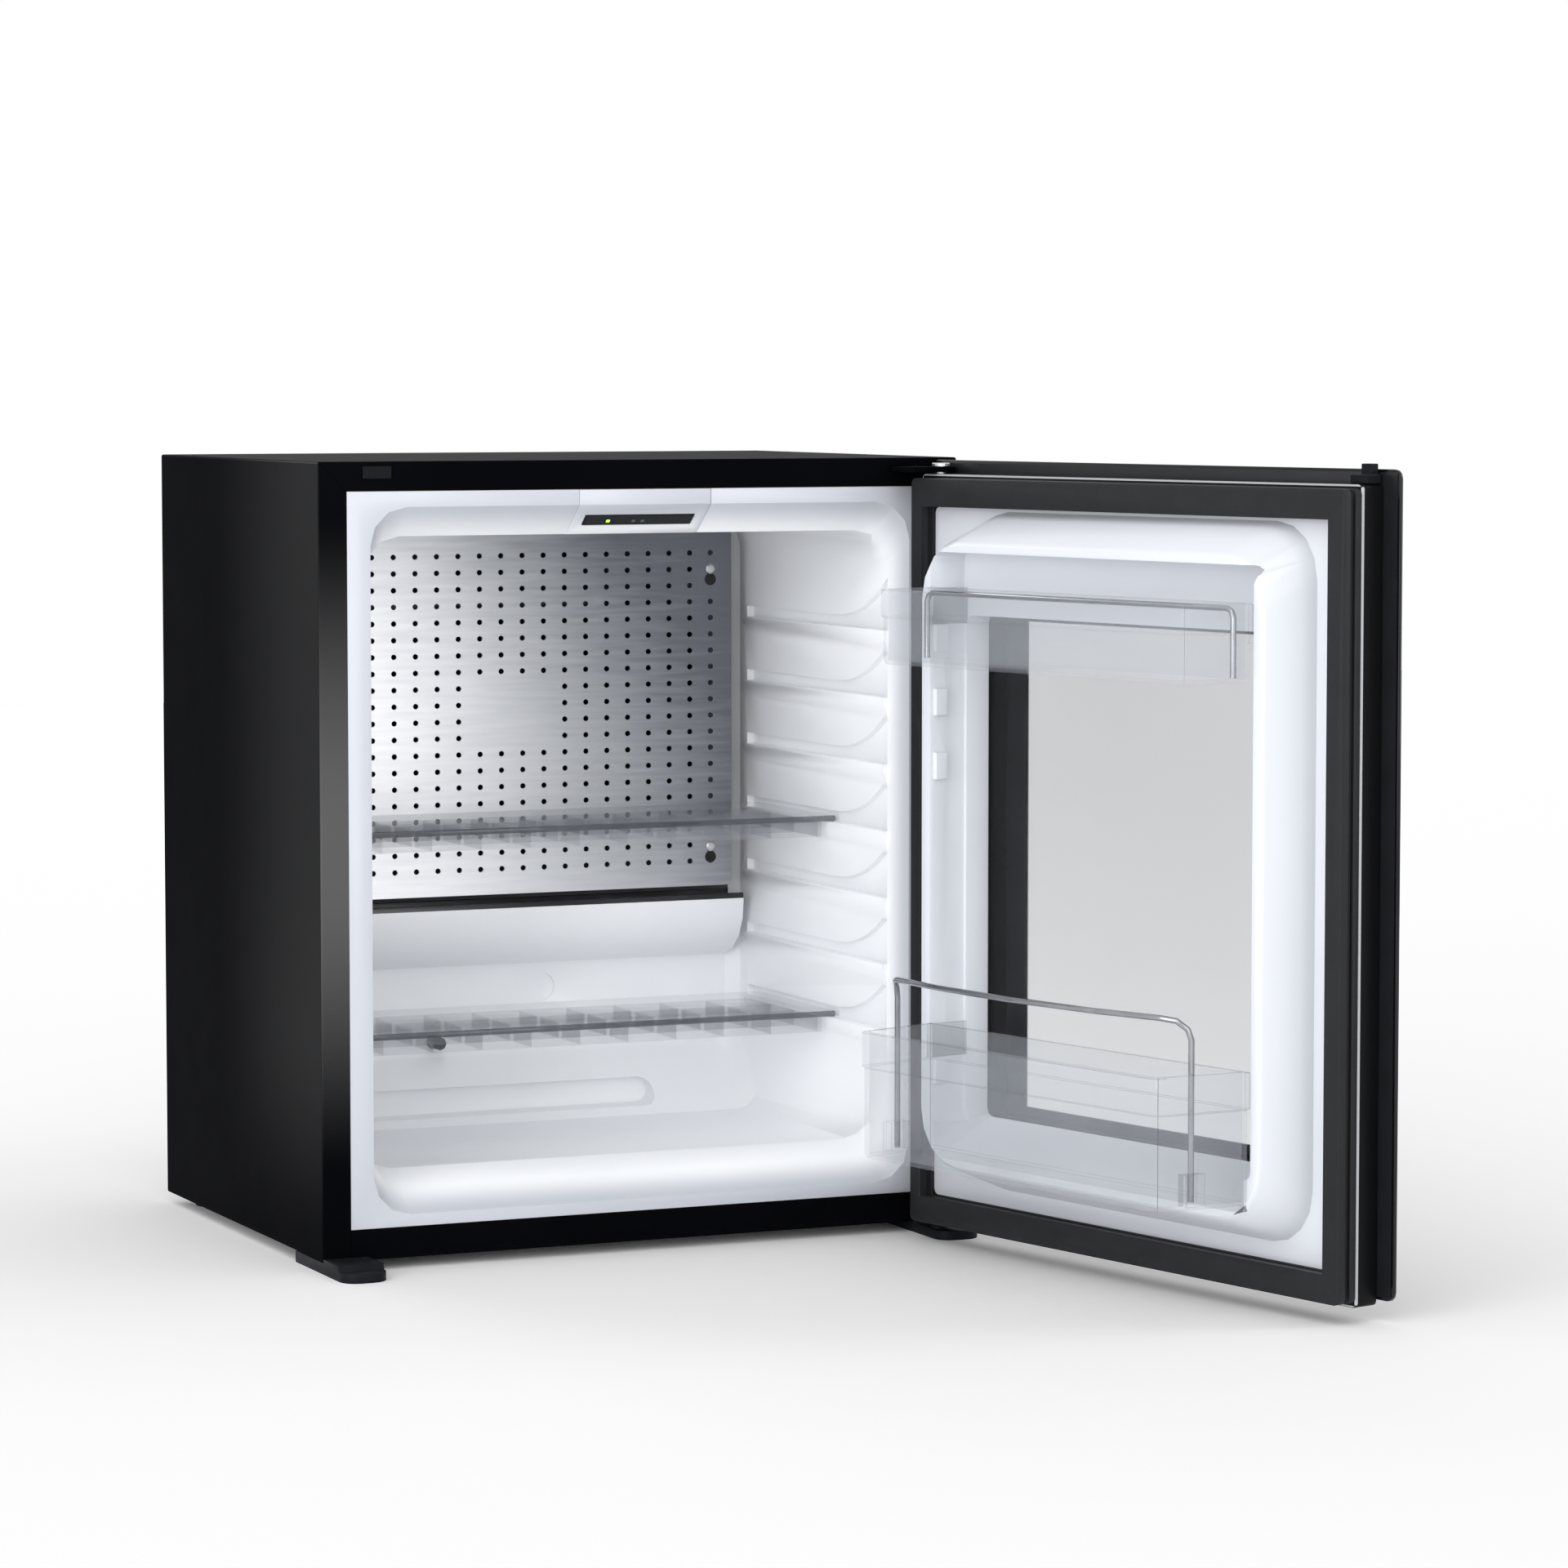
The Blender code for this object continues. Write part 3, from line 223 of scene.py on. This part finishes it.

# %% [markdown]
# The liners are thermoformed white polystyrene. The sheet thins where it is drawn deep, so its
# shade drifts a little, and it stays slightly wavy under a semi-gloss skin. The flange and the
# door side carry painted shade, darker than the inside, and the recess behind the plate is
# painted near black as painted shade.

# %% Formed white sheet
f = Finish("white_liner")
drift = f.noise(6, detail=2)
# Painted shade: the recess behind the plate is painted near black.
recess = (f.z > 0.2130) * (f.z < 0.4925) * (abs(f.x) < 0.1920)
painted_recess_shade = f.y.step(FRONT + 0.250, FRONT + 0.262) * recess
# Painted shade: the flange and the door side are darker copies of the same white as the inside.
painted_shade_flange = drift.tint((0.45, 0.47, 0.515), (0.49, 0.51, 0.555))
door = drift.tint((0.61, 0.635, 0.68), (0.67, 0.695, 0.74))
inside = drift.tint((0.88, 0.895, 0.925), (0.93, 0.94, 0.96))
cabinet = f.y.step(FRONT + 0.001, FRONT + 0.03).tint(painted_shade_flange, inside)
sheet = (f.y < FRONT - 0.003).tint(cabinet, door)
f.set(Base_Color=painted_recess_shade.tint(sheet, (0.006, 0.007, 0.009)),
      Roughness=0.26 + 0.12 * f.noise(25), Coat_Weight=0.15, Coat_Roughness=0.12,
      Normal=f.bump(f.noise(26, detail=1), 0.0016, 0.10))
FIN["white_liner"] = f

f = Finish("foam")
f.set(Base_Color=f.noise(90, detail=5).tint((0.50, 0.42, 0.22), (0.74, 0.66, 0.42)),
      Roughness=0.88 + 0.1 * f.noise(300), Normal=f.bump(f.noise(600, detail=5), 0.002, 0.5))
FIN["foam"] = f
print("liner and foam finishes")

# %% [markdown]
# The plate is aluminium with the fine lengthwise grain of rolled sheet, punched and left bare.
# Galvanised steel shows soft spangle, and zinc plate is finer and brighter.

# %% Metals
f = Finish("aluminium")
grain = f.noise(260, stretch=(14, 1, 1), detail=4)
# Painted reflection: the plate runs from light at the lower left to dark at the upper right.
painted_reflection_gradient = (f.x * 1.9 + f.z * 1.2).step(0.15, 0.85)
sheet = (0.25 * grain + 0.9 * painted_reflection_gradient).tint((0.92, 0.93, 0.95), (0.16, 0.17, 0.19))
# Painted shade: aluminium parts behind the plate are painted near black.
painted_shade_behind_plate = f.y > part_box("perforated_plate")[1].y + 0.0002
f.set(Metallic=1.0, Base_Color=painted_shade_behind_plate.tint(sheet, (0.02, 0.02, 0.022)),
      Roughness=0.30 + 0.16 * grain, Normal=f.bump(grain, 0.00012, 0.2))
FIN["aluminium"] = f

f = Finish("galvanised")
spangle = f.place.make("ShaderNodeTexVoronoi", {"Vector": f.place, "Scale": 160.0})
patches = spangle * 0.8 + 0.2 * f.noise(12)
f.set(Metallic=1.0, Base_Color=patches.tint((0.30, 0.31, 0.32), (0.56, 0.57, 0.58)),
      Roughness=0.38 + 0.22 * spangle, Normal=f.bump(f.noise(300), 0.0003, 0.15))
FIN["galvanised"] = f

f = Finish("zinc_plate")
f.set(Metallic=1.0, Base_Color=f.noise(50).tint((0.50, 0.50, 0.50), (0.68, 0.68, 0.67)),
      Roughness=0.28 + 0.15 * f.noise(180), Normal=f.bump(f.noise(500), 0.0002, 0.1))
FIN["zinc_plate"] = f

f = Finish("steel_wire")
f.set(Metallic=1.0, Base_Color=f.noise(70).tint((0.26, 0.27, 0.29), (0.38, 0.39, 0.41)),
      Roughness=0.10 + 0.10 * f.noise(260, stretch=(1, 1, 6)))
FIN["steel_wire"] = f
print("metal finishes")

# %% [markdown]
# The shelves and racks are injection moulded in clear polystyrene with faint flow marks, seen as
# a thin veil; their darker edges are painted shade. The pane is tinted float glass with a black
# border behind it.

# %% Clear plastic and glass
def front_lip(f):
    """1 on the front edge of either shelf's slab."""
    near = (f.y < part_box("shelf_upper")[0].y + 0.0015) * (f.y > FRONT)
    tops = (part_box(name)[1].z for name in SHELVES)
    return near * sum((f.z > top - 0.0045) * (f.z < top + 0.001) for top in tops)


f = Finish("clear_plastic")
flow = f.noise(14, stretch=(3, 1, 1), detail=2)
# Painted shade: the shelves' front lip is dark and nearly opaque.
painted_dark_lip = front_lip(f)
veil = flow.tint((0.40, 0.43, 0.48), (0.50, 0.53, 0.58))
f.set(Base_Color=painted_dark_lip.tint(veil, (0.05, 0.055, 0.07)),
      Alpha=0.10 + 0.05 * flow + 0.62 * painted_dark_lip,
      Roughness=0.05 + 0.03 * f.noise(35), Normal=f.bump(flow, 0.0008, 0.05))
FIN["clear_plastic"] = f

# Painted shade: the racks' rounded edges are dark and nearly opaque.
f = Finish("clear_edge_painted_shade")
f.set(Base_Color=(0.05, 0.055, 0.065, 1), Alpha=0.88,
      Roughness=0.12 + 0.05 * f.noise(50))
FIN["clear_edge_painted_shade"] = f

f = Finish("door_glass")
f.set(Base_Color=f.noise(4).tint((0.87, 0.875, 0.885), (0.90, 0.905, 0.915)),
      Transmission_Weight=1.0, IOR=1.2, Roughness=0.10 + 0.04 * f.noise(20))
u, v = f.door()
clear = (u > 0.0847) * (u < 0.376) * (f.z > 0.095) * (f.z < 0.440) + (v < 0.0)
border = {"Base Color": (0.002, 0.0022, 0.003, 1), "Roughness": 0.12, "Specular IOR Level": 0.3}
dark = f.place.make("ShaderNodeBsdfPrincipled", border)
glass = Value(f.material.node_tree, f.shader.outputs[0])
clear = clear.math("MINIMUM", clear, 1.0)
both = f.place.make("ShaderNodeMixShader", {0: clear, 1: dark, 2: glass})
surface = f.material.node_tree.nodes["Material Output"].inputs["Surface"]
f.material.node_tree.links.new(both.socket, surface)
FIN["door_glass"] = f

f = Finish("black_print")
f.set(Base_Color=f.noise(60).tint((0.006, 0.006, 0.008), (0.010, 0.011, 0.013)),
      Roughness=0.28 + 0.08 * f.noise(200))
FIN["black_print"] = f

f = Finish("lens")
f.set(Base_Color=f.noise(30).tint((0.006, 0.007, 0.008), (0.012, 0.013, 0.016)),
      Roughness=0.16 + 0.06 * f.noise(90), Specular_IOR_Level=0.12)
FIN["lens"] = f
print("clear finishes")

# %% [markdown]
# Gasket rubber is extruded PVC with a dull bloom. The feet and caps are dark grey nylon with a
# spark-eroded texture from the mould.

# %% Rubber, grey nylon and lights
f = Finish("gasket_rubber")
f.set(Base_Color=f.noise(40).tint((0.004, 0.0045, 0.006), (0.009, 0.010, 0.012)),
      Specular_IOR_Level=0.28, Roughness=0.50 + 0.15 * f.noise(70),
      Normal=f.bump(f.noise(400), 0.0004, 0.2))
FIN["gasket_rubber"] = f

f = Finish("grey_plastic")
f.set(Base_Color=f.noise(50).tint((0.005, 0.006, 0.008), (0.010, 0.011, 0.014)),
      Specular_IOR_Level=0.07, Roughness=0.45 + 0.15 * f.noise(90),
      Normal=f.bump(f.noise(1100), 0.0003, 0.25))
FIN["grey_plastic"] = f

f = Finish("green_light")
lit = f.x < -0.015
f.set(Base_Color=(lit * 0.9 + 0.1 * f.noise(200)).tint((0.05, 0.055, 0.06), (0.4, 0.9, 0.1)),
      Emission_Color=lit.tint((0, 0, 0), (0.42, 1.0, 0.06)), Emission_Strength=1.6, Roughness=0.3)
FIN["green_light"] = f

for entry in frame["record"]["subparts"]:
    apply(FIN[entry["material_slot"]], entry["node"])
print("finishes on", len(NODES), "nodes")

# %% [markdown]
# Moulded and folded pieces have no knife edges. Each copy below merges the frame's facets, rounds
# its edges by the radius that its process leaves, and shades the curved walls smooth.


# %% Softened copies
def select_only(item):
    bpy.ops.object.select_all(action="DESELECT")
    item.select_set(True)
    bpy.context.view_layer.objects.active = item


def body_of(node):
    bodies = frame["record"]["behaviour"]["bodies"]
    return next(body for body, nodes in bodies.items() if node in nodes)


def soften(node, width, segments=2, angle=35, smooth=50):
    """Copy of a CAD node with rounded edges and smooth walls."""
    piece = NODES[node].copy()
    piece.data = NODES[node].data.copy()
    piece.name = node + "_fine"
    bpy.context.scene.collection.objects.link(piece)
    piece.parent = None
    select_only(piece)
    bpy.ops.object.mode_set(mode="EDIT")
    bpy.ops.mesh.select_all(action="SELECT")
    bpy.ops.mesh.remove_doubles(threshold=0.00001)
    bpy.ops.mesh.dissolve_limited(angle_limit=math.radians(0.6))
    bpy.ops.object.mode_set(mode="OBJECT")
    if width:
        mod = piece.modifiers.new("edges", "BEVEL")
        # The racks' rounded edges take the painted-shade edge finish.
        if node in RACKS:
            piece.data.materials.append(FIN["clear_edge_painted_shade"].material)
            mod.material = 1
        mod.width = width
        mod.segments = segments
        mod.limit_method = "ANGLE"
        mod.angle_limit = math.radians(angle)
        mod.harden_normals = False
        bpy.ops.object.modifier_apply(modifier="edges")
    bpy.ops.object.shade_smooth_by_angle(angle=math.radians(smooth))
    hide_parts(node)
    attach(piece, body_of(node))
    return piece


FINE = {
    "inner_liner": 0.0009, "door_liner": 0.0012, "control_housing": 0.0004, "rack_upper": 0.0007,
    "rack_lower": 0.0007, "shelf_upper": 0, "shelf_lower": 0, "front_foot": 0.0008,
    "lower_hinge_bracket": 0.0008, "upper_hinge_plate": 0.0004, "door_frame": 0.0006,
    "door_gasket": 0.0008, "window_spacer": 0.0006, "door_glass": 0.0004, "bottom_rail": 0.0002,
    "absorber_coil": 0, "condenser": 0, "absorber_vessel": 0.0012, "heat_exchanger": 0,
    "evaporation_tray": 0.0004, "electrical_box": 0, "boiler_case": 0, "drain_hose": 0,
    "rail_upper": 0, "rail_lower": 0,
}
for node, width in FINE.items():
    made = soften(node, width)
    print(node, len(made.data.polygons))

# %% [markdown]
# The plate in front of the evaporator is punched in a press. Its rows of round holes let the
# cold air fall, four keyholes hang it on screws, and the middle block is left plain.


# %% Punched plate
def add(kind, name, **settings):
    bpy.ops.object.select_all(action="DESELECT")
    getattr(bpy.ops.mesh, f"primitive_{kind}_add")(**settings)
    item = bpy.context.object
    item.name = name
    return item


def settle(item):
    """Put the object's place and size into its mesh."""
    select_only(item)
    bpy.ops.object.transform_apply(location=True, rotation=True, scale=True)


def subtract(item, cutter):
    mod = item.modifiers.new("cut", "BOOLEAN")
    mod.solver = "EXACT"
    mod.operation = "DIFFERENCE"
    mod.object = cutter
    select_only(item)
    bpy.ops.object.modifier_apply(modifier="cut")
    bpy.data.objects.remove(cutter, do_unlink=True)


HOLES = 20
PITCH_X, PITCH_Z, TOP_ROW = 0.01706, 0.01237, 0.4781
HOLE_X = 9.5 * PITCH_X
HOLE_R = 0.0021
low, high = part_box("perforated_plate")
plate = add("cube", "plate_fine", size=1, location=(low + high) / 2)
plate.scale = high - low
settle(plate)
mid_y = (low.y + high.y) / 2
cutter = add("cylinder", "punch", vertices=16, radius=HOLE_R, depth=0.01,
             location=(HOLE_X, mid_y, TOP_ROW), rotation=(math.pi / 2, 0, 0))
bpy.ops.object.mode_set(mode="EDIT")
for row in range(HOLES):
    for col in range(HOLES):
        inner = 8 <= row <= 11 and 8 <= col <= 11
        key = col in (0, 19) and row in (1, 2, 17, 18)
        if inner or key or (row == 0 and col == 19):
            continue
        spot = ((col - 9.5) * PITCH_X, mid_y, TOP_ROW - row * PITCH_Z)
        bpy.ops.mesh.primitive_cylinder_add(vertices=16, radius=HOLE_R, depth=0.01, location=spot,
                                            rotation=(math.pi / 2, 0, 0))
bpy.ops.object.mode_set(mode="OBJECT")
settle(cutter)
subtract(plate, cutter)
for side in (-1, 1):
    for top in (0.4660, 0.2540):
        x = side * HOLE_X
        entry = add("cylinder", "entry", vertices=24, radius=0.0046, depth=0.01,
                    location=(x, mid_y, top - 0.0081), rotation=(math.pi / 2, 0, 0))
        subtract(plate, entry)
        seat = add("cube", "seat", size=1, location=(x, mid_y, top - 0.003))
        seat.scale = (0.0048, 0.01, 0.010)
        settle(seat)
        subtract(plate, seat)
select_only(plate)
bpy.ops.object.shade_smooth_by_angle(angle=math.radians(40))
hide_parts("perforated_plate")
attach(plate, "cabinet")
apply(FIN["aluminium"], "plate_fine")
print("plate faces", len(plate.data.polygons))

# %% [markdown]
# The picture has a white ground. Large soft lights stand above and to the left, weaker ones in
# front, to the right and behind, and the world lifts the shadows. Camera, glossy and transmitted
# rays see pure white.

# %% Floor and light
floor = add("plane", "floor", size=12, location=(0, 0, -0.0081))
paper = Finish("paper")
paper.set(Base_Color=paper.noise(2).tint((0.90, 0.90, 0.90), (0.92, 0.92, 0.92)), Roughness=0.9)
apply(paper, "floor")
floor.is_shadow_catcher = True


def softbox(name, place, target, size, watts):
    light = bpy.data.lights.new(name, "AREA")
    light.shape = "RECTANGLE"
    light.size, light.size_y = size
    light.energy = watts
    item = bpy.data.objects.new(name, light)
    bpy.context.scene.collection.objects.link(item)
    item.location = place
    item.rotation_euler = (Vector(target) - Vector(place)).to_track_quat("-Z", "Y").to_euler()


softbox("key", (-1.6, -2.2, 2.3), (0, 0, 0.25), (2.8, 2.8), 38)
softbox("front", (0.2, -3.2, 0.9), (0, 0, 0.3), (1.2, 1.6), 14)
softbox("left", (-2.4, -1.8, 0.6), (0.1, -0.1, 0.28), (1.6, 1.4), 34)
softbox("right", (2.2, -1.2, 1.2), (0.1, -0.1, 0.3), (1.0, 1.8), 16)
softbox("rear", (-0.8, 2.4, 1.6), (0, 0, 0.3), (1.6, 1.2), 14)

world = bpy.data.worlds.new("world")
bpy.context.scene.world = world
world.use_nodes = True
tree = world.node_tree
ground = tree.nodes["Background"]
ground.inputs["Color"].default_value = (1, 1, 1, 1)
path = tree.nodes.new("ShaderNodeLightPath")
ray = Value(tree, path.outputs["Is Camera Ray"])
through = Value(tree, path.outputs["Is Transmission Ray"])
mirrored = Value(tree, path.outputs["Is Glossy Ray"])
seen = ray.math("MAXIMUM", ray, through)
seen = seen.math("MAXIMUM", seen, mirrored)
FILL = 0.80
strength = seen * (1 - FILL) + FILL
tree.links.new(strength.socket, ground.inputs["Strength"])
print("lights", len(bpy.data.lights))
